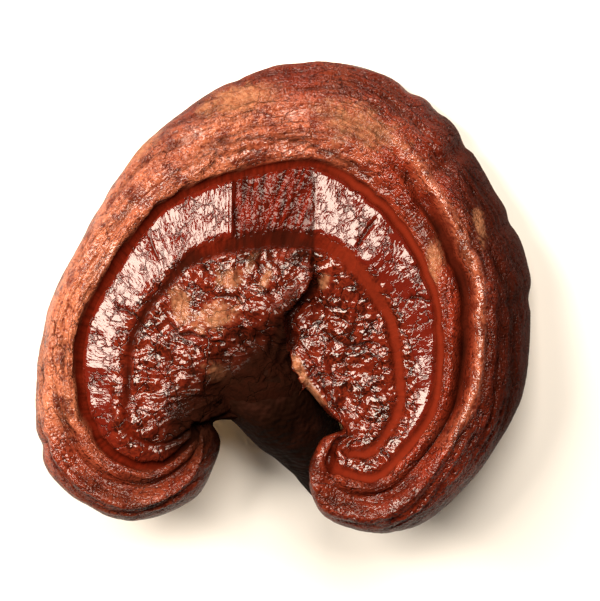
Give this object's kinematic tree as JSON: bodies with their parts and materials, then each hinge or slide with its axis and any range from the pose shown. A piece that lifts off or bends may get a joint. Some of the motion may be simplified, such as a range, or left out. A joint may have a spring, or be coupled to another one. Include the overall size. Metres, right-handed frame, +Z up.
{
  "type": "reishi mushroom",
  "caption": "Dried reishi mushroom: lacquered kidney-shaped bracket cap with growth rings and in-curled lobes, on a short dark side stem, lying top side up.",
  "frame": {"origin": "middle of the footprint, on the ground under the mushroom", "axes": "+Z up; +Y towards the far margin, which rests on the ground; -Y towards the notch and the stem; +X towards the larger lobe"},
  "size_m": [0.1494, 0.1402, 0.0474],
  "materials": {
    "lacquered_crust": "glossy red-brown natural lacquer, satin orange-brown towards the margin",
    "dark_stem_crust": "satin near-black lacquer"
  },
  "bodies": {
    "root": {"cap": "lacquered_crust", "stem": "dark_stem_crust"}
  },
  "joints": []
}
